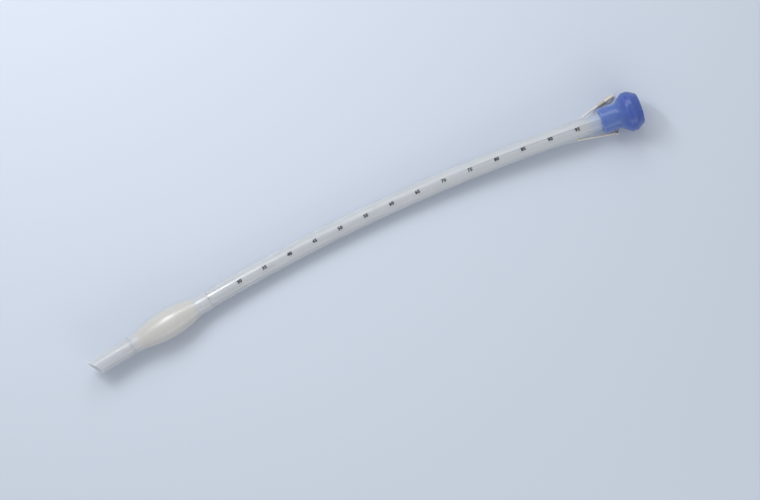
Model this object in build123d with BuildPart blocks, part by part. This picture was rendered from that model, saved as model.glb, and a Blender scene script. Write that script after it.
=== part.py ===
from build123d import *

import os
from math import asin, atan2, cos, degrees, pi, radians, sin, tan

# A large silicone endotracheal tube with a cuff, two thin lines and a blue connector.
# It lies on the floor as it comes to rest, with its tip toward -X and its connector toward +X.
# Lengths along the tube are measured from the long end of the bevelled tip, in millimetres.

os.makedirs("parts", exist_ok=True)

# Shaft
shaft_od = 32.0
shaft_bore = 24.0
bevel_angle = 30.0
bevel_set_in = 0.5
tip_round = 1.4
bore_round = 0.6

# Centreline: a bend at the tip, a straight run under the cuff, the main bend and a straight head
tube_length = 1000.0
head_run = 95.0
bend_radius = 3000.0
straight_margin = 2.0

# Narrow neck of the shaft, with its taper set back from the sleeve's open face
neck_od = 28.5
neck_depth = 36.0
neck_taper_from = 46.0
neck_taper_to = 20.0

# Cuff, fullest at its crown and with a small step down to the collar behind it
cuff_od = 50.4
cuff_wall = 1.2
cuff_start = 97.0
cuff_length = 121.0
crown_at = 65.0
foot_radius = 48.0
foot_open_at = 8.5
step_at = 118.6
step_height = 0.7
cuff_steps = 4
front_collar = 10.0
rear_collar = 25.0
collar_thickness = 0.7
collar_edge = 0.25
collar_taper = 3.0

# Lumens in the wall, one on each side and a little below the middle as the tube lies
lumen_bore = 1.8
lumen_droop = 15.0
cuff_port_at = 190.0
tip_port_at = 60.0

# Connector, from the open face of its sleeve
connector_length = 72.0
sleeve_od = 45.2
sleeve_length = 31.0
flare_length = 15.5
barrel_od = 70.0
barrel_length = 11.0
end_face_od = 53.0
mouth_bore = 40.0
mouth_depth = 24.0
throat_length = 6.0
sleeve_edge_round = 1.5
flare_round = 6.0
barrel_edge_round = 4.0
end_edge_round = 3.0
mouth_chamfer = 0.8

# Lines and the horns that they leave by, set back from the sleeve's open face
line_od = 3.2
line_bore = 1.6
horn_od = 5.0
horn_root_od = 2.4
horn_length = 36.0
inflation_exit = 28.0
inflation_reach = 18.8
inflation_splay = 15.6
auxiliary_exit = 50.0
auxiliary_reach = 17.8
auxiliary_splay = 7.6

# Pilot balloon, lying beside the sleeve and turned outward from it
balloon_forward = 7.0
balloon_aside = 28.0
balloon_turn = 14.0
balloon_od = 5.4
balloon_length = 15.0
balloon_wall = 0.7
balloon_neck_od = 4.4
balloon_neck = 3.0

# Valve
valve_length = 18.0
valve_od = 6.8
valve_end_od = 5.6
wing_span = 11.0
wing_thickness = 1.6
wing_start = 1.2
wing_rise = 2.4
wing_flat = 1.6
wing_end = 16.8
luer_mouth_bore = 4.3
luer_depth = 8.0
luer_taper = 0.06
chamber_bore = 4.6
seat_bore = 2.6
seat_thickness = 1.2
tail_flange = 1.2
tail_spigot = 2.0
barb_length = 6.0
barb_od = 2.8

# Valve stem, its seal and its spring, whose fine wire is drawn with flat sides
stem_pin_od = 1.4
stem_pin_length = 6.4
stem_shoulder_od = 2.2
stem_shoulder = 1.0
guide_thickness = 1.0
guide_slots = 3
guide_slot_width = 1.4
slide_clearance = 0.05
seal_od = 4.0
seal_thickness = 0.7
spring_od = 3.4
spring_wire = 0.35
spring_turns = 4
spring_sides = 8

# Hub and plug on the auxiliary line, lying beside the sleeve
hub_forward = 21.5
hub_aside = -27.0
hub_turn = -7.2
hub_od = 6.2
hub_length = 6.8
hub_edge_chamfer = 0.8
hub_bore_length = 4.4
plug_od = 2.4
plug_proud = 0.25

# Each line leaves its horn and reaches its end piece by a straight lead. The points between are chosen
# by hand: forward of the sleeve's open face, to the side of the head, and above the floor
inflation_lead_out = 6.5
inflation_lead_in = 6.8
inflation_points = [(-14.9, 21.7, 20.6), (-6.8, 24.2, 7.7)]
auxiliary_lead_out = 8.0
auxiliary_lead_in = 12.6
auxiliary_points = [(-30.7, -19.9, 23.6), (-17.5, -21.8, 17.0), (-4.8, -23.6, 8.3)]

tip_bend = cuff_start - front_collar - straight_margin
cuff_run = front_collar + cuff_length + rear_collar + 2 * straight_margin
main_bend = tube_length - tip_bend - cuff_run - head_run
route_length = tube_length + connector_length
shaft_radius = shaft_od / 2
neck_radius = neck_od / 2
bore_radius = shaft_bore / 2
lumen_radius = (shaft_radius + bore_radius) / 2
collar_radius = shaft_radius + collar_thickness
cuff_radius = cuff_od / 2
barrel_radius = barrel_od / 2

# The centreline drawn flat, bending to the right from the tip
with BuildLine() as flat:
    tip_arc = JernArc((0, 0), (1, 0), bend_radius, -degrees(tip_bend / bend_radius))
    cuff_line = Line(tip_arc @ 1, tip_arc @ 1 + (tip_arc % 1) * cuff_run)
    main_arc = JernArc(cuff_line @ 1, cuff_line % 1, bend_radius, -degrees(main_bend / bend_radius))
    head_line = Line(main_arc @ 1, main_arc @ 1 + (main_arc % 1) * (head_run + connector_length))
flat_route = flat.wire()

# It touches the floor at the cuff's crown, at the belly of its bend and at the connector's barrel
cuff_touch = flat_route @ ((cuff_start + crown_at) / route_length)
barrel_touch = flat_route @ ((tube_length + sleeve_length + flare_length) / route_length)
reach = barrel_touch - cuff_touch
chord_turn = atan2(reach.Y, reach.X)
pitch = asin((barrel_radius - cuff_radius) / reach.length)

# The belly touches where the laid tube runs level, which depends a little on how far it rolls
level_turn = 0.0
for _ in range(4):
    belly_at = cuff_run - bend_radius * (chord_turn + level_turn)
    belly_touch = flat_route @ (belly_at / route_length)
    belly_from_cuff = (belly_touch - cuff_touch).rotate(Axis.Z, -degrees(chord_turn))
    chord_height = cuff_radius + (barrel_radius - cuff_radius) * belly_from_cuff.X / reach.length
    roll = asin((chord_height - shaft_radius) / belly_from_cuff.Y)
    level_turn = pitch / roll

# The bend is rolled until its belly touches, and the plan is centred on the floor
upward = Vector(-sin(pitch) * cos(roll), sin(roll), cos(pitch) * cos(roll))
rolled = Plane(origin=(0, 0, 0), x_dir=(cos(pitch), 0, sin(pitch)), z_dir=upward)
cuff_rolled = rolled.from_local_coords(cuff_touch.rotate(Axis.Z, -degrees(chord_turn)))
end_rolled = rolled.from_local_coords((flat_route @ 1).rotate(Axis.Z, -degrees(chord_turn)))
bulge_edge = belly_from_cuff.Y * cos(roll) + shaft_radius
centre_x = end_rolled.X / 2
centre_y = cuff_rolled.Y + (bulge_edge - barrel_radius) / 2
floor_to_origin = cuff_radius - cuff_rolled.Z
lie = Plane(
    origin=(-centre_x, -centre_y, floor_to_origin),
    x_dir=rolled.x_dir * cos(chord_turn) - rolled.y_dir * sin(chord_turn),
    z_dir=upward,
)
route = flat_route.moved(lie.location)


def station(distance):
    """The plane square to the tube: x to the outside of the bend, z toward the connector."""
    share = distance / route_length
    along = route % share
    return Plane(origin=route @ share, x_dir=lie.z_dir.cross(along), z_dir=along)


def profile_plane(distance):
    """The plane through a straight run: x along the tube, y to the outside of the bend."""
    square = station(distance)
    return Plane(origin=square.origin, x_dir=square.z_dir, z_dir=lie.z_dir)


head = profile_plane(tube_length)
head_axis = Axis(head.origin, head.x_dir)
cuff_plane = profile_plane(cuff_start)
cuff_axis = Axis(cuff_plane.origin, cuff_plane.x_dir)

# The floor beside the sleeve: x along the head in plan, y to the outside of the bend
beside = Plane(
    origin=(head.origin.X, head.origin.Y, 0),
    x_dir=(head.x_dir.X, head.x_dir.Y, 0),
    z_dir=(0, 0, 1),
)


class Exit:
    """A lumen at an angle round the shaft, and where its line leaves by the horn."""

    def __init__(self, angle, set_back, reach_out, splay, port_at):
        slope = radians(splay)
        self.port_at = port_at
        self.aside = (cos(angle), sin(angle))
        outward = head.y_dir * cos(angle) + head.z_dir * sin(angle)
        self.direction = head.x_dir * cos(slope) + outward * sin(slope)
        self.mouth = head.origin - head.x_dir * set_back + outward * reach_out
        self.mouth_plane = Plane(origin=self.mouth, x_dir=head.x_dir.cross(outward), z_dir=self.direction)
        self.root_at = tube_length - set_back - horn_length
        self.channel = (reach_out - lumen_radius) / sin(slope)
        self.turn_at = tube_length - set_back - self.channel * cos(slope)

    def lumen_plane(self, distance):
        """The plane across the lumen: x points out through the wall, z toward the connector."""
        square = station(distance)
        outward = square.x_dir * self.aside[0] + square.y_dir * self.aside[1]
        return Plane(origin=square.origin + outward * lumen_radius, x_dir=outward, z_dir=square.z_dir)


inflation_angle = roll - radians(lumen_droop)
auxiliary_angle = pi + roll + radians(lumen_droop)
inflation = Exit(inflation_angle, inflation_exit, inflation_reach, inflation_splay, cuff_port_at)
auxiliary = Exit(auxiliary_angle, auxiliary_exit, auxiliary_reach, auxiliary_splay, tip_port_at)


# Tube shaft
with BuildPart() as tube_shaft:
    with BuildSketch(station(0)):
        Circle(shaft_radius)
        Circle(bore_radius, mode=Mode.SUBTRACT)
    sweep(path=route.trim(0, (tube_length - head_run) / route_length))
    with BuildSketch(head):
        with BuildLine():
            Polyline(
                (-head_run, bore_radius),
                (-head_run, shaft_radius),
                (-neck_taper_from, shaft_radius),
                (-neck_taper_to, neck_radius),
                (neck_depth, neck_radius),
                (neck_depth, bore_radius),
                close=True,
            )
        make_face()
    revolve(axis=head_axis)
    # A moulded horn grows out of the wall and narrows down to each line
    for way in (inflation, auxiliary):
        with BuildSketch(way.lumen_plane(way.root_at)):
            Circle(horn_root_od / 2)
        with BuildSketch(way.mouth_plane):
            Circle(horn_od / 2)
        loft()
    # The thin passages run along the wall and out through the horns
    for way in (inflation, auxiliary):
        with BuildSketch(way.lumen_plane(way.port_at)):
            Circle(lumen_bore / 2)
        sweep(path=route.trim(way.port_at / route_length, way.turn_at / route_length), mode=Mode.SUBTRACT)
        with BuildSketch(way.mouth_plane):
            Circle(line_bore / 2)
        extrude(amount=-way.channel, mode=Mode.SUBTRACT)
    # The inflation lumen opens outward under the cuff, the other one into the bore near the tip
    cuff_port = inflation.lumen_plane(cuff_port_at)
    with BuildSketch(Plane(origin=cuff_port.origin, z_dir=cuff_port.x_dir)):
        Circle(lumen_bore / 2)
    extrude(amount=shaft_radius, mode=Mode.SUBTRACT)
    tip_port = auxiliary.lumen_plane(tip_port_at)
    with BuildSketch(Plane(origin=tip_port.origin, z_dir=tip_port.x_dir)):
        Circle(lumen_bore / 2)
    extrude(amount=-lumen_radius, mode=Mode.SUBTRACT)
    # The bevel is long on the outside of the bend
    tip = station(bevel_set_in)
    bevel_normal = tip.z_dir * cos(radians(bevel_angle)) + tip.x_dir * sin(radians(bevel_angle))
    bevel = Plane(origin=tip.from_local_coords((shaft_radius, 0)), z_dir=bevel_normal)
    split(bisect_by=bevel, keep=Keep.TOP)
    rims = faces().filter_by(bevel).sort_by(Axis.X)[0].edges().sort_by(Edge.length)
    fillet(rims[-1], tip_round)
    bore_rim = faces().filter_by(bevel).sort_by(Axis.X)[0].edges().sort_by(Edge.length)[0]
    fillet(bore_rim, bore_round)

# Cuff: a thin spindle with a collar at each end, drawn in straight steps along tangent arcs
foot_turn = 2 * degrees(atan2(cuff_radius - collar_radius, crown_at))
brow_radius = crown_at / sin(radians(foot_turn)) - foot_radius
foot = JernArc((0, collar_radius), (1, 0), foot_radius, foot_turn)
brow = JernArc(foot @ 1, foot % 1, brow_radius, -foot_turn)
fall = TangentArc(brow @ 1, (step_at, collar_radius + step_height), tangent=(1, 0))
inner_crown = (crown_at, cuff_radius - cuff_wall)
inner_rise = TangentArc(inner_crown, (foot_open_at, shaft_radius), tangent=(-1, 0))
inner_fall = TangentArc(inner_crown, (step_at, shaft_radius), tangent=(1, 0))
steps = [step / cuff_steps for step in range(cuff_steps + 1)]
outer_curve = [foot @ 0, foot @ 0.5] + [brow @ share for share in steps] + [fall @ share for share in steps[1:]]
inner_curve = [inner_fall @ (1 - share) for share in steps] + [inner_rise @ share for share in steps[1:]]
with BuildPart() as cuff:
    with BuildSketch(cuff_plane):
        with BuildLine():
            Polyline(
                *outer_curve,
                (step_at, collar_radius),
                (cuff_length + rear_collar - collar_taper, collar_radius),
                (cuff_length + rear_collar, shaft_radius + collar_edge),
                (cuff_length + rear_collar, shaft_radius),
                *inner_curve,
                (-front_collar, shaft_radius),
                (-front_collar, shaft_radius + collar_edge),
                (-front_collar + collar_taper, collar_radius),
                close=True,
            )
        make_face()
    revolve(axis=cuff_axis)

# Connector
barrel_start = sleeve_length + flare_length
barrel_end = barrel_start + barrel_length
mouth_start = connector_length - mouth_depth
with BuildPart() as connector:
    with BuildSketch(head):
        with BuildLine():
            FilletPolyline(
                (0, neck_radius),
                (0, sleeve_od / 2),
                (sleeve_length, sleeve_od / 2),
                (barrel_start, barrel_radius),
                (barrel_end, barrel_radius),
                (connector_length, end_face_od / 2),
                (connector_length, mouth_bore / 2 + mouth_chamfer),
                radius=[sleeve_edge_round, flare_round, barrel_edge_round, barrel_edge_round, end_edge_round],
            )
            Polyline(
                (connector_length, mouth_bore / 2 + mouth_chamfer),
                (connector_length - mouth_chamfer, mouth_bore / 2),
                (mouth_start, mouth_bore / 2),
                (neck_depth + throat_length, bore_radius),
                (neck_depth, bore_radius),
                (neck_depth, neck_radius),
                (0, neck_radius),
            )
        make_face()
    revolve(axis=head_axis)

# Pilot balloon and valve, on one axis that lies on the floor
pilot_origin = beside.from_local_coords((balloon_forward, balloon_aside, valve_od / 2))
pilot = Plane(origin=pilot_origin, x_dir=beside.x_dir.rotate(Axis.Z, balloon_turn), z_dir=(0, 0, 1))
pilot_axis = Axis(pilot.origin, pilot.x_dir)
barb_start = balloon_length - barb_length
valve_start = balloon_length + tail_flange
valve_end = valve_start + valve_length
luer_start = valve_end - luer_depth
seat_back = luer_start - seat_thickness
luer_root_radius = (luer_mouth_bore - luer_taper * luer_depth) / 2

with BuildPart() as pilot_balloon:
    with BuildSketch(pilot):
        with BuildLine():
            Polyline(
                (0, line_bore / 2),
                (0, balloon_neck_od / 2),
                (balloon_neck / 2, balloon_neck_od / 2),
                (balloon_neck, balloon_od / 2),
                (balloon_length - balloon_neck, balloon_od / 2),
                (balloon_length - balloon_neck / 2, balloon_neck_od / 2),
                (balloon_length, balloon_neck_od / 2),
                (balloon_length, barb_od / 2),
                (barb_start, barb_od / 2),
                (barb_start, balloon_od / 2 - balloon_wall),
                (balloon_neck, balloon_od / 2 - balloon_wall),
                (balloon_neck, line_bore / 2),
                close=True,
            )
        make_face()
    revolve(axis=pilot_axis)

with BuildPart() as valve_tail:
    with BuildSketch(pilot):
        with BuildLine():
            Polyline(
                (barb_start, line_bore / 2),
                (barb_start, barb_od / 2),
                (balloon_length, barb_od / 2),
                (balloon_length, valve_od / 2),
                (valve_start, valve_od / 2),
                (valve_start, chamber_bore / 2),
                (valve_start + tail_spigot, chamber_bore / 2),
                (valve_start + tail_spigot, line_bore / 2),
                close=True,
            )
        make_face()
    revolve(axis=pilot_axis)

with BuildPart() as valve_body:
    with BuildSketch(pilot):
        with BuildLine():
            Polyline(
                (valve_start, chamber_bore / 2),
                (valve_start, valve_od / 2),
                (luer_start, valve_od / 2),
                (valve_end, valve_end_od / 2),
                (valve_end, luer_mouth_bore / 2),
                (luer_start, luer_root_radius),
                (luer_start, seat_bore / 2),
                (seat_back, seat_bore / 2),
                (seat_back, chamber_bore / 2),
                close=True,
            )
        make_face()
    revolve(axis=pilot_axis)
    # Two flat wings give it the outline of a kite
    with BuildSketch(pilot):
        with BuildLine():
            Polyline(
                (valve_start + wing_start, chamber_bore / 2 + slide_clearance),
                (valve_start + wing_start, valve_od / 2),
                (valve_start + wing_start + wing_rise, wing_span / 2),
                (valve_start + wing_start + wing_rise + wing_flat, wing_span / 2),
                (valve_start + wing_end, valve_end_od / 2),
                (valve_start + wing_end, luer_mouth_bore / 2 + slide_clearance),
                close=True,
            )
        make_face()
        mirror(about=Plane.XZ)
    extrude(amount=wing_thickness / 2, both=True)

# Valve stem: guide disc, shoulder for the seal, and the pin that a syringe tip pushes
seal_start = seat_back - seal_thickness
shoulder_start = seal_start - stem_shoulder
guide_start = shoulder_start - guide_thickness
guide_radius = chamber_bore / 2 - slide_clearance
with BuildPart() as valve_stem:
    with BuildSketch(pilot):
        with BuildLine():
            Polyline(
                (guide_start, 0),
                (guide_start, guide_radius),
                (shoulder_start, guide_radius),
                (shoulder_start, stem_shoulder_od / 2),
                (seal_start, stem_shoulder_od / 2),
                (seal_start, stem_pin_od / 2),
                (seal_start + stem_pin_length, stem_pin_od / 2),
                (seal_start + stem_pin_length, 0),
                close=True,
            )
        make_face()
    revolve(axis=pilot_axis)
    guide_plane = Plane(origin=pilot.from_local_coords((guide_start, 0)), z_dir=pilot.x_dir)
    with BuildSketch(guide_plane):
        with PolarLocations(guide_radius, guide_slots):
            Rectangle(guide_slot_width, guide_slot_width)
    extrude(amount=guide_thickness, mode=Mode.SUBTRACT)

with BuildPart() as valve_seal:
    with BuildSketch(Plane(origin=pilot.from_local_coords((seal_start, 0)), z_dir=pilot.x_dir)):
        Circle(seal_od / 2)
        Circle(stem_pin_od / 2, mode=Mode.SUBTRACT)
    extrude(amount=seal_thickness)

# Spring, between the tail's spigot and the guide disc
spring_start = valve_start + tail_spigot + spring_wire / 2
spring_height = guide_start - spring_wire / 2 - spring_start
spring_radius = (spring_od - spring_wire) / 2
with BuildPart() as valve_spring:
    with BuildLine() as coil:
        Helix(
            pitch=spring_height / spring_turns,
            height=spring_height,
            radius=spring_radius,
            center=pilot.from_local_coords((spring_start, 0)),
            direction=pilot.x_dir,
        )
    with BuildSketch(Plane(origin=coil.line @ 0, z_dir=coil.line % 0)):
        RegularPolygon(spring_wire / 2, spring_sides)
    sweep()

# Hub with its plug, on an axis that lies on the floor
hub_origin = beside.from_local_coords((hub_forward, hub_aside, hub_od / 2))
hub = Plane(origin=hub_origin, x_dir=beside.x_dir.rotate(Axis.Z, hub_turn), z_dir=(0, 0, 1))
plug_plane = Plane(origin=hub.from_local_coords((hub_length / 2, 0)), z_dir=(0, 0, 1))
with BuildPart() as line_hub:
    with BuildSketch(Plane(origin=hub.origin, z_dir=hub.x_dir)):
        Circle(hub_od / 2)
    extrude(amount=hub_length)
    chamfer(edges().filter_by(GeomType.CIRCLE), hub_edge_chamfer)
    with BuildSketch(Plane(origin=hub.origin, z_dir=hub.x_dir)):
        Circle(line_bore / 2)
    extrude(amount=hub_bore_length, mode=Mode.SUBTRACT)
    with BuildSketch(plug_plane):
        Circle(plug_od / 2)
    extrude(amount=hub_od, mode=Mode.SUBTRACT)

with BuildPart() as hub_plug:
    with BuildSketch(plug_plane.offset(line_bore / 2)):
        Circle(plug_od / 2)
    extrude(amount=hub_od / 2 - line_bore / 2 + plug_proud)
    chamfer(edges().group_by(Axis.Z)[-1], plug_proud / 2)


def corner_radii(points):
    """The radius of each corner of a line: 0.45 of its shorter run over the tangent of half its turn."""
    radii = []
    for before, corner, after in zip(points, points[1:], points[2:]):
        run_in = Vector(corner) - Vector(before)
        run_out = Vector(after) - Vector(corner)
        half_turn = radians(run_in.get_angle(run_out)) / 2
        radii.append(0.45 * min(run_in.length, run_out.length) / tan(half_turn))
    return radii


def line_path(points):
    """Straight runs joined by tangent arcs."""
    with BuildLine() as path:
        FilletPolyline(points, radius=corner_radii(points))
    return path.wire()


inflation_route = [
    inflation.mouth,
    inflation.mouth + inflation.direction * inflation_lead_out,
    *[beside.from_local_coords(point) for point in inflation_points],
    pilot.origin - pilot.x_dir * inflation_lead_in,
    pilot.origin,
]
auxiliary_route = [
    auxiliary.mouth,
    auxiliary.mouth + auxiliary.direction * auxiliary_lead_out,
    *[beside.from_local_coords(point) for point in auxiliary_points],
    hub.origin - hub.x_dir * auxiliary_lead_in,
    hub.origin,
]
inflation_path = line_path(inflation_route)
auxiliary_path = line_path(auxiliary_route)

with BuildPart() as inflation_line:
    with BuildSketch(inflation.mouth_plane):
        Circle(line_od / 2)
        Circle(line_bore / 2, mode=Mode.SUBTRACT)
    sweep(path=inflation_path)

with BuildPart() as auxiliary_line:
    with BuildSketch(auxiliary.mouth_plane):
        Circle(line_od / 2)
        Circle(line_bore / 2, mode=Mode.SUBTRACT)
    sweep(path=auxiliary_path)

for title, points in (("inflation_line", inflation_route), ("auxiliary_line", auxiliary_route)):
    print(title, "corner radii in mm:", [round(r, 1) for r in corner_radii(points)])
print("line lengths in mm:", round(inflation_path.length, 1), round(auxiliary_path.length, 1))

pieces = {
    "tube_shaft": tube_shaft,
    "cuff": cuff,
    "connector": connector,
    "inflation_line": inflation_line,
    "pilot_balloon": pilot_balloon,
    "valve_tail": valve_tail,
    "valve_body": valve_body,
    "valve_stem": valve_stem,
    "valve_seal": valve_seal,
    "valve_spring": valve_spring,
    "auxiliary_line": auxiliary_line,
    "line_hub": line_hub,
    "hub_plug": hub_plug,
}
for name, piece in pieces.items():
    piece.part.label = name
    export_step(piece.part, f"parts/{name}.step")
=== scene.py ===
# %% [markdown]
# A large endotracheal tube, dressed for the studio.
#
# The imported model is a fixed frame: every solid is already in its place, in metres, with the
# floor at height zero, the bevelled tip toward -X and the blue connector toward +X. This lesson
# gives each solid its real finish, and puts better Blender pieces over the soft ones.

# %% Load the frame
import math
import bpy
from mathutils import Matrix, Vector


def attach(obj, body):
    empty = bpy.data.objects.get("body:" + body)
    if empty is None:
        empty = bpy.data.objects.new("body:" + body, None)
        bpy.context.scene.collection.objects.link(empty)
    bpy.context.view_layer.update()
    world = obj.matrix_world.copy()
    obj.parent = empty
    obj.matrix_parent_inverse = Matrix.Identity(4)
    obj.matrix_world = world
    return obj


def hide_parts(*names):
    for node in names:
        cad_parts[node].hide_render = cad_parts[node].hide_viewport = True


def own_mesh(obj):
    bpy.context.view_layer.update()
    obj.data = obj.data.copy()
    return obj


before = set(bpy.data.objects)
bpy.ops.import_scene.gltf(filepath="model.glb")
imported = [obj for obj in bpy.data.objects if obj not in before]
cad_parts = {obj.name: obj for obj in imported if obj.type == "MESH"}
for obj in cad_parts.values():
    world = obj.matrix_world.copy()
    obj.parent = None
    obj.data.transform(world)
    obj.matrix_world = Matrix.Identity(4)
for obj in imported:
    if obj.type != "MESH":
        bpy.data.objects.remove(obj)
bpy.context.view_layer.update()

bpy.ops.object.select_all(action="DESELECT")

# %% [markdown]
# The photograph looks straight down from about 2.8 m with a medium telephoto lens. The printed
# depth marks are true centimetres, so they tell where the camera stood and how it was turned:
# the tube's length runs up to the right by about 25 degrees in the picture.

# %% Camera
MM = 0.001
bpy.ops.object.camera_add(location=(0.01646, -0.04190, 2.80779), rotation=(0.0, 0.0, -0.43186))
camera = bpy.context.object
camera.name = "studio_camera"
camera.data.lens = 75.0
camera.data.sensor_width = 36.0
camera.data.clip_start = 0.05
bpy.context.scene.camera = camera
print("camera at", [round(c, 3) for c in camera.location], "lens", camera.data.lens)

# %% [markdown]
# Two thin silicone lines leave the tube near the connector. Each one is limp, 3.2 mm thick and
# only a few centimetres long, and ends in a small fitting that lies on the table. A NURBS curve
# is the natural way to make them: a few control points give one smooth line, and the curve's
# round bevel gives it its thickness.

# %% The two lines
LINE_RADIUS = 1.6 * MM
BALLOON_LINE = [
    (436.50, 21.23, 25.95), (442.91, 22.34, 25.86), (449.55, 23.57, 20.6),
    (457.85, 25.32, 7.7), (465.22, 26.80, 3.4), (471.94, 27.83, 3.4),
]
PLUG_LINE = [
    (411.38, -11.95, 24.84), (419.19, -13.70, 25.02), (430.0, -16.4, 23.6), (442.97, -19.51, 17.0),
    (455.45, -22.47, 8.3), (469.03, -25.54, 3.1), (481.33, -28.26, 3.1),
]


def draw_line(name, points):
    """A round line whose spline has the route's points as its control points, each with its
    radius on it, which scales a bevel of depth one."""
    curve = bpy.data.curves.new(name, "CURVE")
    curve.dimensions = "3D"
    curve.resolution_u = 24
    curve.bevel_depth = 1.0
    curve.bevel_resolution = 8
    curve.use_fill_caps = True
    spline = curve.splines.new("NURBS")
    spline.points.add(len(points) - 1)
    for point, place in zip(spline.points, points):
        point.co = (place[0] * MM, place[1] * MM, place[2] * MM, 1.0)
        point.radius = LINE_RADIUS
    spline.order_u = 3
    spline.use_endpoint_u = True
    line = bpy.data.objects.new(name, curve)
    bpy.context.collection.objects.link(line)
    return line


balloon_line = draw_line("soft_balloon_line", BALLOON_LINE)
plug_line = draw_line("soft_plug_line", PLUG_LINE)
for line, node in ((balloon_line, "inflation_line"), (plug_line, "auxiliary_line")):
    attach(line, "tube")
    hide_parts(node)


def declare_line(line, points, length):
    """Print a line's name, how many points it has, and its length in metres."""
    print(line.name, len(points), "points,", length, "m")


declare_line(plug_line, PLUG_LINE, 0.0768)

# %% [markdown]
# Marks and cuff follow the tube's centreline, which is drawn flat as an arc, a straight run under
# the cuff, a long arc and a straight head, and then laid down at an angle. One small function
# gives the place and the heading of any point along it.

# %% The tube's centreline
BEND = 3.0
SHAFT_RADIUS = 16.0 * MM
ARC_ENDS = ((0.0, 0.085), (0.245, 0.905))
SLEEVE_FACE = 1.0
SLICES = 200
UP = Vector((0, 0, 1))
LIE_START = Vector((-0.5339792, -0.0216750, 0.0324547))
LIE_ALONG = Vector((0.9900792, 0.1296756, -0.0541065))
LIE_ASIDE = Vector((-0.1401593, 0.8842282, -0.4455288))


def heading(distance):
    """How far the tube has turned to the right at a distance from its tip, in radians."""
    return sum(min(max(distance - a, 0.0), b - a) for a, b in ARC_ENDS) / BEND


def centre(distance):
    """The centreline's point and direction at a distance from the tip."""
    x = y = 0.0
    for step in range(SLICES):
        turn = heading((step + 0.5) * distance / SLICES)
        x += math.cos(turn) * distance / SLICES
        y -= math.sin(turn) * distance / SLICES
    turn = heading(distance)
    place = LIE_START + LIE_ALONG * x + LIE_ASIDE * y
    return place, (LIE_ALONG * math.cos(turn) - LIE_ASIDE * math.sin(turn)).normalized()


def tube_matrix(distance):
    """A placement on the centreline: x along the tube, z as near to upright as it goes."""
    place, along = centre(distance)
    aside = UP.cross(along).normalized()
    up = along.cross(aside)
    turned = Matrix((along, aside, up)).transposed().to_4x4()
    return Matrix.Translation(place) @ turned


print("sleeve face at", [round(c, 4) for c in centre(SLEEVE_FACE)[0]])

# %% [markdown]
# Every finish is made of nodes. Silicone is a soft, milky plastic: light goes a few millimetres
# into it, so subsurface scattering carries most of its look, with a satin gloss on top. Faint
# clouds in its colour and gloss keep it from looking like paint. A few helpers add the nodes.

# %% Helpers for finishes
MIX_A, MIX_B, MIX_RESULT = 6, 7, 2
GRAIN_DEPTH = 0.2 * MM
WARM_SHEEN = (1.0, 0.93, 0.80, 1.0)


def new_finish(name, colour, roughness, **sockets):
    """A material with one Principled shader, whose constant numbers sit on its own sockets."""
    finish = bpy.data.materials.new(name)
    finish.use_nodes = True
    shader = finish.node_tree.nodes["Principled BSDF"]
    shader.inputs["Base Color"].default_value = (*colour, 1.0)
    shader.inputs["Roughness"].default_value = roughness
    shader.inputs["Subsurface Radius"].default_value = (1.0, 1.0, 1.0)
    for socket, value in sockets.items():
        shader.inputs[socket.replace("_", " ")].default_value = value
    return finish, shader


def wire(finish, kind, **values):
    """Add a node of a kind, with its settings and its unlinked inputs."""
    node = finish.node_tree.nodes.new(kind)
    for key, value in values.items():
        if hasattr(node, key):
            setattr(node, key, value)
        else:
            node.inputs[key.replace("_", " ")].default_value = value
    return node


def carried(finish, name):
    """The number that a piece's mesh carries under a name."""
    return wire(finish, "ShaderNodeAttribute", attribute_name=name).outputs["Fac"]


def ramp(finish, value, low, high, at_low=0.0, at_high=1.0):
    """A number that goes smoothly from one value to another as its source passes two limits."""
    step = wire(finish, "ShaderNodeMapRange", interpolation_type="SMOOTHSTEP",
                From_Min=low, From_Max=high, To_Min=at_low, To_Max=at_high)
    finish.node_tree.links.new(value, step.inputs["Value"])
    return step.outputs["Result"]


def calculate(finish, operation, *values):
    """The result of a sum on values, each one a number or another node's output."""
    node = wire(finish, "ShaderNodeMath", operation=operation)
    for socket, value in zip(node.inputs, values):
        if isinstance(value, float):
            socket.default_value = value
        else:
            finish.node_tree.links.new(value, socket)
    return node.outputs["Value"]


def blend(finish, share, colour_a, colour_b):
    """Two colours mixed by a share, each one three numbers or another node's output."""
    node = wire(finish, "ShaderNodeMix", data_type="RGBA")
    finish.node_tree.links.new(share, node.inputs[0])
    for socket, colour in ((node.inputs[MIX_A], colour_a), (node.inputs[MIX_B], colour_b)):
        if isinstance(colour, tuple):
            socket.default_value = (*colour, 1.0)
        else:
            finish.node_tree.links.new(colour, socket)
    return node.outputs[MIX_RESULT]


def paint(finish, shader, colour):
    """Link a colour to a finish's shader."""
    finish.node_tree.links.new(colour, shader.inputs["Base Color"])


def clouds(finish, shader, colour_a, colour_b, scale, rough_a, rough_b, bump=0.0, bump_scale=400.0):
    """Blend two near colours and two roughnesses by soft noise, with a fine bump on top."""
    links = finish.node_tree.links
    where = wire(finish, "ShaderNodeTexCoord").outputs["Object"]
    noise = wire(finish, "ShaderNodeTexNoise", Scale=scale, Detail=3.0, Roughness=0.5)
    links.new(where, noise.inputs["Vector"])
    tint = blend(finish, noise.outputs["Fac"], colour_a, colour_b)
    paint(finish, shader, tint)
    gloss = wire(finish, "ShaderNodeMapRange", To_Min=rough_a, To_Max=rough_b)
    links.new(noise.outputs["Fac"], gloss.inputs["Value"])
    links.new(gloss.outputs["Result"], shader.inputs["Roughness"])
    if bump > 0.0:
        grain = wire(finish, "ShaderNodeTexNoise", Scale=bump_scale, Detail=2.0)
        links.new(where, grain.inputs["Vector"])
        relief = wire(finish, "ShaderNodeBump", Strength=bump, Distance=GRAIN_DEPTH)
        links.new(grain.outputs["Fac"], relief.inputs["Height"])
        links.new(relief.outputs["Normal"], shader.inputs["Normal"])
    return tint


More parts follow.
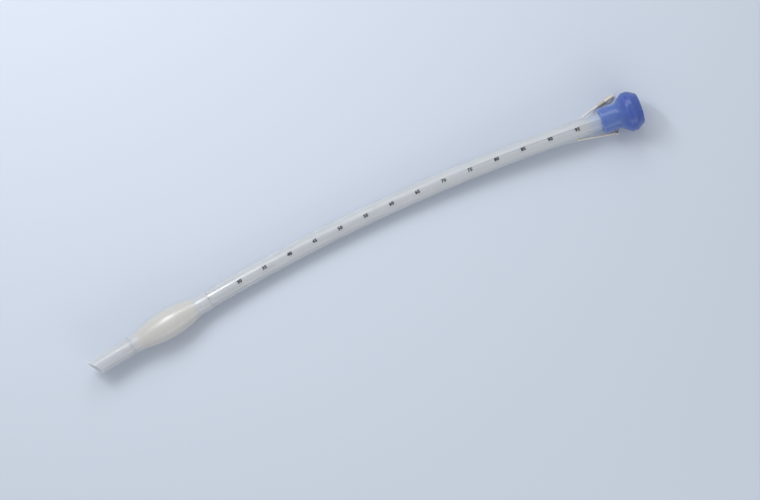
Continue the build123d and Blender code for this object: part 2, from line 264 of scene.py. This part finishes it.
# %% [markdown]
# The tube is the milkiest of them. A warm sheen lifts its sides, as light does that comes out of
# thick silicone at a flat angle.

# %% Silicone of the tube
tube_finish, shader = new_finish(
    "milky_silicone", (0.52, 0.55, 0.59), 0.2,
    Subsurface_Weight=1.0, Subsurface_Scale=0.012, IOR=1.41, Specular_IOR_Level=0.8,
    Sheen_Weight=0.45, Sheen_Roughness=0.22, Sheen_Tint=WARM_SHEEN)
milk = clouds(
    tube_finish, shader, (0.485, 0.515, 0.56), (0.55, 0.575, 0.61), 18.0, 0.13, 0.2, 0.06, 900.0)
print("finish", tube_finish.name)

# %% [markdown]
# Two things on the tube follow its own length: a painted blue glow, which stands in for the light
# of the connector shining through, and a faint grey thread along its top near that end. Both read
# the distance along the tube and to its side, which the shaft's mesh carries as attributes.

# %% Painted blue glow and thread along the tube
PAINTED_GLOW_REACH = (0.965, 1.004)
THREAD_REACH = (0.68, 0.82)
THREAD_ASIDE = 2.6 * MM
THREAD_EDGE = (0.4 * MM, 1.1 * MM)
along = carried(tube_finish, "along")
aside = carried(tube_finish, "aside")
# Painted light: a blue glow in the connector's colour is mixed into the tube's own colour near the
# connector.
painted_glow_share = ramp(tube_finish, along, *PAINTED_GLOW_REACH, 0.0, 0.75)
milk_with_painted_glow = blend(tube_finish, painted_glow_share, milk, (0.30, 0.42, 0.72))
off_thread = calculate(tube_finish, "SUBTRACT", aside, THREAD_ASIDE)
thread_gap = calculate(tube_finish, "ABSOLUTE", off_thread)
thread_share = calculate(
    tube_finish, "MULTIPLY", ramp(tube_finish, thread_gap, *THREAD_EDGE, 1.0, 0.0),
    ramp(tube_finish, along, *THREAD_REACH, 0.0, 0.55))
paint(tube_finish, shader, blend(tube_finish, thread_share, milk_with_painted_glow, (0.34, 0.38, 0.46)))
print("finish", tube_finish.name, len(tube_finish.node_tree.nodes), "nodes")

# %% [markdown]
# The cuff is thinner and more ivory than the tube. Its two collars are glued down, so the colour
# of the tube comes through them: its finish fades to that colour before and behind the belly.

# %% Silicone of the cuff
FRONT_FADE = (-9.0 * MM, 12.0 * MM)
REAR_FADE = (115.0 * MM, 121.0 * MM)
cuff_finish, shader = new_finish(
    "satin_cuff_silicone", (0.56, 0.56, 0.555), 0.25,
    Subsurface_Weight=0.4, Subsurface_Scale=0.0008, IOR=1.41, Specular_IOR_Level=0.9,
    Sheen_Weight=0.45, Sheen_Roughness=0.22, Sheen_Tint=WARM_SHEEN)
ivory = clouds(
    cuff_finish, shader, (0.52, 0.52, 0.51), (0.575, 0.57, 0.555), 14.0, 0.25, 0.31, 0.1, 500.0)
along = carried(cuff_finish, "along")
belly = calculate(
    cuff_finish, "MULTIPLY", ramp(cuff_finish, along, *FRONT_FADE),
    ramp(cuff_finish, along, *REAR_FADE, 1.0, 0.0))
paint(cuff_finish, shader, blend(cuff_finish, belly, (0.50, 0.53, 0.57), ivory))
print("finish", cuff_finish.name)

# %% [markdown]
# The lines are a warmer, creamier silicone, and the pilot balloon is a beige one.

# %% Silicone of the lines and the balloon
line_finish, shader = new_finish(
    "cream_line_silicone", (0.68, 0.64, 0.55), 0.35, Subsurface_Weight=0.5, Subsurface_Scale=0.002)
clouds(line_finish, shader, (0.74, 0.70, 0.62), (0.82, 0.78, 0.70), 90.0, 0.3, 0.42)
balloon_finish, shader = new_finish(
    "beige_balloon_silicone", (0.52, 0.44, 0.35), 0.4,
    Subsurface_Weight=0.4, Subsurface_Scale=0.002)
clouds(balloon_finish, shader, (0.48, 0.40, 0.32), (0.58, 0.50, 0.41), 120.0, 0.34, 0.46)
print("finishes", line_finish.name, balloon_finish.name)

# %% [markdown]
# The connector is a thick blue moulding that lets some light through, so part transmission goes
# over a deep blue body. The white neck of the tube stands inside its sleeve and makes it paler:
# the finish follows the connector's length and goes from a paler blue to the deep one.

# %% Finish of the connector
NECK_SHOWS = (28.0 * MM, 44.0 * MM)
connector_finish, shader = new_finish(
    "blue_moulding", (0.08, 0.14, 0.46), 0.4, Transmission_Weight=0.35, IOR=1.45,
    Subsurface_Weight=1.0, Subsurface_Scale=0.015)
deep_blue = clouds(
    connector_finish, shader, (0.09, 0.16, 0.51), (0.11, 0.19, 0.58), 25.0, 0.22, 0.28, 0.05, 700.0)
neck_share = ramp(connector_finish, carried(connector_finish, "along"), *NECK_SHOWS, 0.65, 0.0)
paint(connector_finish, shader, blend(connector_finish, neck_share, deep_blue, (0.19, 0.31, 0.68)))
print("finish", connector_finish.name)

# %% [markdown]
# The small fittings are hard: an ivory moulding for the valve and the hub, white nylon for the
# stem, black rubber for the seal, bright wire for the spring, a dark plug, and black ink.

# %% Finishes of the fittings
valve_finish, shader = new_finish("ivory_moulding", (0.62, 0.585, 0.52), 0.3)
clouds(valve_finish, shader, (0.59, 0.555, 0.49), (0.66, 0.63, 0.57), 200.0, 0.26, 0.4)
stem_finish, shader = new_finish("white_nylon", (0.68, 0.68, 0.67), 0.38)
clouds(stem_finish, shader, (0.65, 0.65, 0.64), (0.73, 0.73, 0.72), 300.0, 0.32, 0.45)
seal_finish, shader = new_finish("black_seal_rubber", (0.03, 0.03, 0.032), 0.55)
clouds(seal_finish, shader, (0.025, 0.025, 0.027), (0.04, 0.04, 0.042), 400.0, 0.5, 0.65)
spring_finish, shader = new_finish("bright_spring_wire", (0.62, 0.62, 0.63), 0.25, Metallic=1.0)
clouds(spring_finish, shader, (0.58, 0.58, 0.59), (0.68, 0.68, 0.69), 600.0, 0.2, 0.32)
plug_finish, shader = new_finish("dark_plug", (0.035, 0.04, 0.055), 0.4)
clouds(plug_finish, shader, (0.03, 0.035, 0.05), (0.05, 0.055, 0.07), 300.0, 0.34, 0.5)
ink_finish, shader = new_finish("black_ink", (0.02, 0.02, 0.024), 0.5)
clouds(ink_finish, shader, (0.018, 0.018, 0.022), (0.035, 0.035, 0.04), 800.0, 0.45, 0.6)
print("finishes", [f.name for f in bpy.data.materials][-6:])

# %% [markdown]
# The solids that stay as they are packed get their finishes in the slots that they have.

# %% Finishes into their slots
NODE_FINISHES = {
    "valve_tail": valve_finish, "valve_body": valve_finish, "valve_stem": stem_finish,
    "valve_seal": seal_finish, "valve_spring": spring_finish, "line_hub": valve_finish,
    "hub_plug": plug_finish,
}
for name, finish in NODE_FINISHES.items():
    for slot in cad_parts[name].material_slots:
        slot.material = finish
for line in (balloon_line, plug_line):
    line.data.materials.append(line_finish)
print(len(NODE_FINISHES), "solids have their finishes")

# %% [markdown]
# When a syringe pushes the valve's stem in, the small spring behind it gets shorter, and a rigid
# coil would cut through the stem. Here the spring is only given its own copy of its mesh, and the
# valve's axis is set for later use.

# %% The spring's own mesh and the valve's axis
VALVE_AXIS = (0.988405, 0.151842, 0.0)
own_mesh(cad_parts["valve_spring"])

# %% [markdown]
# The cuff is a soft sleeve glued to the tube, a little inflated into a spindle. It is a solid of
# revolution, so its outline is drawn once as a chain of edges and then spun around the tube's
# axis. The real one is a thin skin, so the outline turns back along its inside, with a gap to the
# tube under the belly and none under the two collars. The front of the belly is an S of two arcs,
# a hollow foot and a round brow that meet on one slope, and its rear is a single flat arc. The
# outline is in millimetres.

# %% Cuff outline
CUFF_START = 0.097
GLUED, COLLAR = 16.02, 16.7
CROWN_AT, CROWN_RADIUS = 65.0, 25.2
FOOT_ARC, REAR_ARC = 48.0, 182.0
REAR_RUN = 53.2
CUFF_WALL = 0.8
SKIN_FROM, SKIN_TO = 3.0, 118.7
FRONT_STEPS, REAR_STEPS = 24, 20
foot_turn = 2 * math.atan2(CROWN_RADIUS - COLLAR, CROWN_AT)
foot_end = FOOT_ARC * math.sin(foot_turn)
brow_arc = CROWN_AT / math.sin(foot_turn) - FOOT_ARC
outline = [(-9.9, GLUED), (-9.7, 16.12), (-8.0, 16.2), (-4.0, 16.45), (0.0, COLLAR)]
for step in range(1, FRONT_STEPS + 1):
    x = step / FRONT_STEPS * CROWN_AT
    if x < foot_end:
        r = COLLAR + FOOT_ARC - math.sqrt(FOOT_ARC ** 2 - x ** 2)
    else:
        r = CROWN_RADIUS - brow_arc + math.sqrt(brow_arc ** 2 - (CROWN_AT - x) ** 2)
    outline.append((x, r))
for step in range(1, REAR_STEPS + 1):
    run = step / REAR_STEPS * REAR_RUN
    outline.append((CROWN_AT + run, CROWN_RADIUS - REAR_ARC + math.sqrt(REAR_ARC ** 2 - run ** 2)))
outline += [(118.6, 17.35), (118.9, 16.95), (119.6, 16.75), (123.0, COLLAR), (143.0, COLLAR),
            (145.3, 16.45), (145.9, 16.25), (145.9, GLUED)]
skin = [(x, max(r - CUFF_WALL, GLUED)) for x, r in outline if SKIN_FROM < x < SKIN_TO]
CUFF_OUTLINE = outline + [(118.9, GLUED)] + skin[::-1] + [(2.0, GLUED), (-9.9, GLUED)]
print(len(CUFF_OUTLINE), "points in the cuff's outline")

# %% [markdown]
# The pieces that are turned on an axis share one way of working: the outline is drawn in edit mode
# from vertex to vertex, spun, merged, and then put in its place on the tube.

# %% Spin the cuff
TURNED_STEPS = 128
WELD = 0.01 * MM


def spin_outline(name, outline, steps):
    """Draw an outline point by point in edit mode and spin it around the x axis."""
    bpy.ops.mesh.primitive_plane_add(size=MM)
    piece = bpy.context.object
    piece.name = name
    bpy.ops.object.mode_set(mode="EDIT")
    bpy.ops.mesh.select_mode(type="VERT")
    bpy.ops.mesh.select_all(action="SELECT")
    bpy.ops.mesh.merge(type="CENTER")
    first = Vector((outline[0][0] * MM, 0.0, outline[0][1] * MM))
    bpy.ops.transform.translate(value=first)
    for (x0, r0), (x1, r1) in zip(outline, outline[1:]):
        bpy.ops.mesh.extrude_region_move(
            TRANSFORM_OT_translate={"value": ((x1 - x0) * MM, 0.0, (r1 - r0) * MM)})
    bpy.ops.mesh.select_all(action="SELECT")
    bpy.ops.mesh.spin(steps=steps, angle=2 * math.pi, center=(0, 0, 0), axis=(1, 0, 0))
    bpy.ops.mesh.select_all(action="SELECT")
    bpy.ops.mesh.remove_doubles(threshold=WELD)
    bpy.ops.mesh.normals_make_consistent(inside=False)
    bpy.ops.object.mode_set(mode="OBJECT")
    bpy.ops.object.shade_smooth()
    return piece


def put(piece, matrix):
    """Place a piece by a matrix and store its place in its mesh."""
    piece.matrix_world = matrix
    bpy.ops.object.select_all(action="DESELECT")
    piece.select_set(True)
    bpy.context.view_layer.objects.active = piece
    bpy.ops.object.transform_apply(location=True, rotation=True, scale=True)
    bpy.ops.object.select_all(action="DESELECT")


def carry(piece, name, value):
    """Store a number for each vertex of a piece, worked out from its place in the mesh."""
    layer = piece.data.attributes.new(name, "FLOAT", "POINT")
    layer.data.foreach_set("value", [value(vertex.co) for vertex in piece.data.vertices])


cuff = spin_outline("soft_cuff", CUFF_OUTLINE, TURNED_STEPS)
carry(cuff, "along", lambda place: place.x)
put(cuff, tube_matrix(CUFF_START))
cuff.data.materials.append(cuff_finish)
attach(cuff, "tube")
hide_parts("cuff")
print(cuff.name, len(cuff.data.polygons), "faces")

# %% [markdown]
# The tube itself is extruded silicone with two moulded swellings near the connector, where the
# thin lines leave its wall. It starts as a straight open cylinder, so that the cuts stay easy:
# rings are cut along it, Solidify gives the wall, one slanted cut makes the bevelled tip, and a
# small bevel rounds its rims. Only then are its vertices moved onto the bent centreline.

# %% A straight tube with rings
NECK_END = 1.036
TUBE_SIDES = 96
WALL = 4.0 * MM
BEND_RINGS = [0.03 + 0.0125 * step for step in range(70)]
SWELLING_RINGS = [0.907 + 0.0015 * step for step in range(56)]
NECK_RINGS = [0.997, 1.005, 1.015, 1.025]
bpy.ops.object.select_all(action="DESELECT")
bpy.ops.mesh.primitive_cylinder_add(
    vertices=TUBE_SIDES, radius=SHAFT_RADIUS, depth=NECK_END, end_fill_type="NOTHING",
    location=(NECK_END / 2, 0.0, 0.0), rotation=(0.0, math.pi / 2, 0.0))
shaft = bpy.context.object
shaft.name = "soft_shaft"
bpy.ops.object.transform_apply(location=True, rotation=True, scale=True)
ring_places = BEND_RINGS + SWELLING_RINGS + NECK_RINGS
bpy.ops.object.mode_set(mode="EDIT")
for place in ring_places:
    bpy.ops.mesh.select_all(action="SELECT")
    bpy.ops.mesh.bisect(plane_co=(place, 0.0, 0.0), plane_no=(1, 0, 0))
bpy.ops.object.mode_set(mode="OBJECT")
wall = shaft.modifiers.new("wall", "SOLIDIFY")
wall.thickness = WALL
wall.offset = -1.0
wall.use_rim = False
bpy.ops.object.modifier_apply(modifier=wall.name)
print(shaft.name, len(shaft.data.vertices), "vertices in", len(ring_places), "rings")

# %% [markdown]
# The tip is cut at a slant. Cutting leaves both ends open between the two skins of the wall, so
# each end's two rims are bridged, and the bevel then rounds the rims at the tip.

# %% The bevelled tip and the closed ends
BEVEL_ANGLE = math.radians(30)
BEVEL_PLACE = Vector((1.4 * MM, SHAFT_RADIUS, 0.0))
BEVEL_NORMAL = Vector((math.cos(BEVEL_ANGLE), math.sin(BEVEL_ANGLE), 0.0))
RIM_ROUND = 1.1 * MM
ON_PLANE = 0.01 * MM
bpy.ops.object.mode_set(mode="EDIT")
bpy.ops.mesh.select_all(action="SELECT")
bpy.ops.mesh.bisect(plane_co=BEVEL_PLACE, plane_no=BEVEL_NORMAL, clear_inner=True)


def pick_edges(piece, test):
    """Select the edges whose two ends both pass a test on their place."""
    bpy.ops.object.mode_set(mode="OBJECT")
    for part in (piece.data.polygons, piece.data.vertices, piece.data.edges):
        for item in part:
            item.select = False
    for edge in piece.data.edges:
        edge.select = all(test(piece.data.vertices[v].co) for v in edge.vertices)
    bpy.ops.object.mode_set(mode="EDIT")
    bpy.ops.mesh.select_mode(type="EDGE")


def on_bevel(place):
    return abs((place - BEVEL_PLACE).dot(BEVEL_NORMAL)) < ON_PLANE


pick_edges(shaft, on_bevel)
bpy.ops.mesh.bridge_edge_loops()
pick_edges(shaft, lambda place: place.x > NECK_END - 10 * ON_PLANE)
bpy.ops.mesh.bridge_edge_loops()
pick_edges(shaft, on_bevel)
bpy.ops.object.mode_set(mode="OBJECT")
for edge in shaft.data.edges:
    if edge.select:
        a, b = (shaft.data.vertices[v].co for v in edge.vertices)
        edge.select = abs(math.hypot(a.y, a.z) - math.hypot(b.y, b.z)) < WALL / 8
bpy.ops.object.mode_set(mode="EDIT")
bpy.ops.mesh.bevel(offset=RIM_ROUND, segments=5, affect="EDGES", clamp_overlap=True)
bpy.ops.mesh.select_all(action="SELECT")
bpy.ops.mesh.normals_make_consistent(inside=False)
bpy.ops.object.mode_set(mode="OBJECT")
print("tip cut and rounded,", len(shaft.data.vertices), "vertices")

# %% [markdown]
# Each swelling rises smoothly out of the wall, follows the thin line outward as a rounded ridge,
# and ends in the crotch where the line comes free. In every cross-section the ridge is a narrow
# parabola, blended with the round tube by a smooth maximum, so no seam shows. Before that, the
# tube narrows a little toward its neck. Radii are in millimetres here, and distances along the
# tube in metres.

# %% Shape of the wall at the connector end
TUBE_ROLL = 0.46530
LUMEN_DROOP = math.radians(15)
LUMEN_RING = 14.0
NECK_DROP, NECK_FADE = 1.75, (0.952, 0.982)
RIDGE_RISE, RIDGE_FLARE, RIDGE_END_DROP = 1.2, 0.95, 0.25
RIDGE_WIDTH, RIDGE_SOFTNESS = 3.6, 1.6
ROOT_DROP = 6.0
FLARE_SHARE = 0.7
CROTCH_RUN, CROTCH_DROP = 0.002, 9.0
SWELLINGS = (
    {"angle": TUBE_ROLL - LUMEN_DROOP, "root": 0.936, "mouth": 0.972, "reach": 18.8},
    {"angle": math.pi + TUBE_ROLL + LUMEN_DROOP, "root": 0.914, "mouth": 0.950, "reach": 17.8},
)


def smoothstep(low, high, value):
    """Zero below the low limit, one above the high one and a smooth rise between."""
    share = min(max((value - low) / (high - low), 0.0), 1.0)
    return share * share * (3.0 - 2.0 * share)


def smooth_max(a, b, softness):
    """The larger of two numbers, rounded off where they are nearly equal."""
    share = max(softness - abs(a - b), 0.0) / softness
    return max(a, b) + share * share * softness * 0.25


def wall_radius(along_tube, angle):
    """The outer radius of the tube, in millimetres, at a distance and an angle around it."""
    radius = SHAFT_RADIUS / MM - NECK_DROP * smoothstep(*NECK_FADE, along_tube)
    for swelling in SWELLINGS:
        root, mouth = swelling["root"], swelling["mouth"]
        share = (along_tube - root) / (mouth - root)
        before_root = max(-share, 0.0)
        share = min(max(share, 0.0), 1.0)
        ridge_axis = LUMEN_RING + share * (swelling["reach"] - LUMEN_RING)
        ridge = ridge_axis + RIDGE_RISE + RIDGE_FLARE * smoothstep(0.0, FLARE_SHARE, share)
        ridge -= RIDGE_END_DROP * smoothstep(FLARE_SHARE, 1.0, share) + ROOT_DROP * before_root
        turn = (angle - swelling["angle"] + math.pi) % (2 * math.pi) - math.pi
        ridge -= (ridge_axis * turn) ** 2 / RIDGE_WIDTH
        ridge -= CROTCH_DROP * smoothstep(mouth, mouth + CROTCH_RUN, along_tube)
        radius = smooth_max(radius, ridge, RIDGE_SOFTNESS)
    return radius


print("ridge heights", [round(wall_radius(s["mouth"], s["angle"]), 2) for s in SWELLINGS])

# %% [markdown]
# Now the straight tube is bent: each vertex goes to the same distance and angle on the
# centreline. On the way its outer skin takes the shape of the wall, and its distance from the
# tip and its place to the side are kept for the finish.

# %% Move the tube onto its centreline
OUTER_SKIN = 13.9 * MM
TIP_RUN = 0.05
LIE_NORMAL = LIE_ALONG.cross(LIE_ASIDE).normalized()
along_values, aside_values = [], []
stations = {}
for vertex in shaft.data.vertices:
    x, y, z = vertex.co
    radius = math.hypot(y, z)
    angle = math.atan2(z, y)
    key = round(x, 5)
    if key not in stations:
        place, direction = centre(x)
        sideways = UP.cross(direction).normalized()
        stations[key] = (place, LIE_NORMAL.cross(direction).normalized(), sideways)
    place, outward, sideways = stations[key]
    if radius > OUTER_SKIN and x > TIP_RUN:
        radius = wall_radius(x, angle) * MM
    around = outward * math.cos(angle) + LIE_NORMAL * math.sin(angle)
    vertex.co = place + around * radius
    along_values.append(x)
    aside_values.append((around * radius).dot(sideways))
for name, values in (("along", along_values), ("aside", aside_values)):
    layer = shaft.data.attributes.new(name, "FLOAT", "POINT")
    layer.data.foreach_set("value", values)
bpy.ops.object.select_all(action="DESELECT")
shaft.select_set(True)
bpy.context.view_layer.objects.active = shaft
bpy.ops.object.shade_smooth_by_angle(angle=math.radians(50))
shaft.data.materials.append(tube_finish)
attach(shaft, "tube")
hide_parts("tube_shaft")
print(shaft.name, len(shaft.data.polygons), "faces")

# %% [markdown]
# The connector is turned in one piece: a sleeve over the tube's neck, a flare, a wide barrel and
# a tapered end around the socket. Its outline has rounded corners, which catch the soft light:
# each corner has its place along the axis, its radius from the axis and its own rounding, in
# millimetres.

# %% Connector outline
CONNECTOR_CORNERS = [
    (0.0, 14.25, 0.0), (0.0, 22.6, 1.5), (31.0, 22.6, 6.0), (46.5, 35.0, 4.0), (57.5, 35.0, 4.0),
    (72.0, 26.5, 3.0), (72.0, 20.8, 0.3), (71.2, 20.0, 0.3), (48.0, 20.0, 0.5), (42.0, 12.0, 0.4),
    (36.0, 12.0, 0.0), (36.0, 14.25, 0.0), (0.0, 14.25, 0.0),
]


def rounded_outline(corners, steps):
    """Points of an outline whose corners are rounded by arcs of the given radii."""
    points = []
    for index, (x, r, radius) in enumerate(corners):
        if radius == 0.0:
            points.append((x, r))
            continue
        corner = Vector((x, r))
        back = (Vector(corners[index - 1][:2]) - corner).normalized()
        ahead = (Vector(corners[index + 1][:2]) - corner).normalized()
        half = back.angle(ahead) / 2
        middle = corner + (back + ahead).normalized() * radius / math.sin(half)
        start = corner + back * radius / math.tan(half) - middle
        stop = corner + ahead * radius / math.tan(half) - middle
        first = math.atan2(start.y, start.x)
        swing = (math.atan2(stop.y, stop.x) - first + math.pi) % (2 * math.pi) - math.pi
        for step in range(steps + 1):
            turn = first + swing * step / steps
            points.append((middle.x + radius * math.cos(turn), middle.y + radius * math.sin(turn)))
    return points


print(len(CONNECTOR_CORNERS), "corners in the connector's outline")

# %% Spin the connector
ARC_STEPS = 7
connector = spin_outline(
    "blue_connector", rounded_outline(CONNECTOR_CORNERS, ARC_STEPS), TURNED_STEPS)
carry(connector, "along", lambda place: place.x)
put(connector, tube_matrix(SLEEVE_FACE))
bpy.context.view_layer.objects.active = connector
connector.select_set(True)
bpy.ops.object.shade_smooth_by_angle(angle=math.radians(40))
connector.data.materials.append(connector_finish)
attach(connector, "tube")
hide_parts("connector")
print(connector.name, len(connector.data.polygons), "faces")

# %% [markdown]
# The pilot balloon is a small beige sleeve on the end of its line: a soft, slightly swollen body
# between two necks. It is spun from its outline and laid along the valve's axis.

# %% Pilot balloon
BALLOON_OUTLINE = [
    (0.0, 0.85), (0.0, 1.95), (0.15, 2.15), (0.6, 2.2), (1.5, 2.22), (2.2, 2.35), (2.8, 2.56),
    (3.6, 2.67), (5.5, 2.7), (7.5, 2.7), (9.5, 2.7), (11.4, 2.67), (12.2, 2.56), (12.8, 2.35),
    (13.5, 2.22), (14.4, 2.2), (14.85, 2.15), (15.0, 1.95), (15.0, 1.45), (9.0, 1.45), (9.0, 2.0),
    (3.2, 2.0), (3.0, 0.85), (0.0, 0.85),
]
PILOT_START = Vector((471.94, 27.834, 3.4)) * MM
PILOT_ALONG = Vector(VALVE_AXIS).normalized()
pilot_matrix = Matrix((PILOT_ALONG, UP.cross(PILOT_ALONG), UP)).transposed().to_4x4()
balloon = spin_outline("soft_pilot_balloon", BALLOON_OUTLINE, steps=48)
put(balloon, Matrix.Translation(PILOT_START) @ pilot_matrix)
balloon.data.materials.append(balloon_finish)
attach(balloon, "tube")
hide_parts("pilot_balloon")
declare_line(balloon_line, BALLOON_LINE, 0.0454)
print(balloon.name, len(balloon.data.polygons), "faces")

# %% [markdown]
# Plain numbers printed every five centimetres tell how deep the tube is. They are small bold
# figures in black ink on the top of the tube, read from the tip toward the connector. Text is
# made flat, cut into narrow strips, and wrapped onto the round tube.

# %% Depth marks
CM = 0.01
FIRST_MARK, LAST_MARK, MARK_STEP = 30, 95, 5
MARK_SIZE = 7.952 * MM
MARK_SHIFT = 5.5 * MM
MARK_SPACING = 1.14
BOLDNESS = 0.4 * MM
marks = []
for number in range(FIRST_MARK, LAST_MARK + 1, MARK_STEP):
    bpy.ops.object.text_add(location=(number * CM + MARK_SHIFT, 0.0, 0.0))
    text = bpy.context.object
    text.data.body = str(number)
    text.data.align_x = "CENTER"
    text.data.align_y = "CENTER"
    text.data.size = MARK_SIZE
    text.data.space_character = MARK_SPACING
    text.data.offset = BOLDNESS
    text.data.resolution_u = 4
    bpy.ops.object.convert(target="MESH")
    marks.append(text)
bpy.ops.object.select_all(action="DESELECT")
for mark in marks:
    mark.select_set(True)
bpy.context.view_layer.objects.active = marks[0]
bpy.ops.object.join()
ink = bpy.context.object
ink.name = "depth_marks"
bpy.ops.object.transform_apply(location=True, rotation=True, scale=True)
print("text box", [round(c, 4) for c in ink.dimensions])

# %% [markdown]
# The flat figures are cut along the tube into strips, so that they can bend around it. Each
# vertex then goes to its distance and its angle on the tube, and Shrinkwrap and Solidify turn
# the figures into a very thin layer of ink just above the silicone.

# %% Wrap the marks onto the tube
STRIP = 0.7 * MM
STRIPS_EACH_SIDE = 4
INK_LIFT, INK_GAP, INK_THICKNESS = 0.05 * MM, 0.03 * MM, 0.04 * MM
bpy.ops.object.mode_set(mode="EDIT")
for strip in range(-STRIPS_EACH_SIDE, STRIPS_EACH_SIDE + 1):
    bpy.ops.mesh.select_all(action="SELECT")
    bpy.ops.mesh.bisect(plane_co=(0.0, strip * STRIP, 0.0), plane_no=(0, 1, 0))
bpy.ops.mesh.select_all(action="SELECT")
bpy.ops.mesh.remove_doubles(threshold=0.002 * MM)
bpy.ops.object.mode_set(mode="OBJECT")
placements = {}
for vertex in ink.data.vertices:
    distance, aside = vertex.co.x, vertex.co.y
    key = round(distance, 4)
    if key not in placements:
        placements[key] = tube_matrix(key)
    around = aside / SHAFT_RADIUS
    lift = SHAFT_RADIUS + INK_LIFT
    local = Vector((distance - key, math.sin(around) * lift, math.cos(around) * lift))
    vertex.co = placements[key] @ local
wrap = ink.modifiers.new("onto_tube", "SHRINKWRAP")
wrap.target = shaft
wrap.wrap_method = "NEAREST_SURFACEPOINT"
wrap.wrap_mode = "ABOVE_SURFACE"
wrap.offset = INK_GAP
bpy.context.view_layer.objects.active = ink
bpy.ops.object.modifier_apply(modifier=wrap.name)
body = ink.modifiers.new("ink_depth", "SOLIDIFY")
body.thickness = INK_THICKNESS
body.offset = 0.0
bpy.ops.object.modifier_apply(modifier=body.name)
ink.data.materials.clear()
ink.data.materials.append(ink_finish)
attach(ink, "tube")
print(ink.name, len(ink.data.polygons), "faces")

# %% [markdown]
# The studio is a plain pale floor with a soft white sky. The floor lies a little below the
# tube, so that no face of the two falls together.

# %% Floor and world
FLOOR_SIZE = 12.0
FLOOR_DROP = 0.3 * MM
bpy.ops.mesh.primitive_plane_add(size=FLOOR_SIZE, location=(0.0, 0.0, -FLOOR_DROP))
floor = bpy.context.object
floor.name = "studio_floor"
floor_finish, shader = new_finish("pale_floor", (0.58, 0.64, 0.74), 0.75)
floor.data.materials.append(floor_finish)

world = bpy.data.worlds.new("studio_world")
bpy.context.scene.world = world
world.use_nodes = True
sky = world.node_tree.nodes["Background"]
sky.inputs["Color"].default_value = (0.92, 0.925, 0.93, 1.0)
sky.inputs["Strength"].default_value = 0.56
print("floor", floor.name, "and sky", world.name)

# %% [markdown]
# Four soft lights face the tube. A wide key and a narrow strip lie along the tube's own run,
# above it toward the top of the picture, so that one bright band follows its crown from end to
# end. A small box gives the cuff its bright spot, and a broad fill from the near side keeps the
# lower half from going dark.

# %% Lights
TUBE_RUN = (1.65, 0.55, -0.45)


def softbox(name, place, along, width, height, power):
    """An area light of a size that faces the origin, with its width turned along a direction."""
    bpy.ops.object.light_add(type="AREA", location=place)
    light = bpy.context.object
    light.name = name
    light.data.shape = "RECTANGLE"
    light.data.size = width
    light.data.size_y = height
    light.data.energy = power
    back = Vector(place).normalized()
    side = Vector(along)
    side = (side - back * side.dot(back)).normalized()
    light.rotation_euler = Matrix((side, back.cross(side), back)).transposed().to_euler()


softbox("key_softbox", (0.0, 1.50, 1.60), TUBE_RUN, width=2.9, height=1.2, power=20.0)
softbox("strip_light", (0.0, 1.33, 1.68), TUBE_RUN, width=2.8, height=0.12, power=5.0)
softbox("crown_light", (-0.60, 1.42, 1.58), (1.0, 0.0, 0.0), width=0.2, height=0.7, power=10.5)
softbox("fill_softbox", (0.3, -2.0, 0.9), (1.0, 0.0, 0.0), width=2.6, height=1.0, power=11.0)
bpy.context.scene.view_settings.view_transform = "Standard"
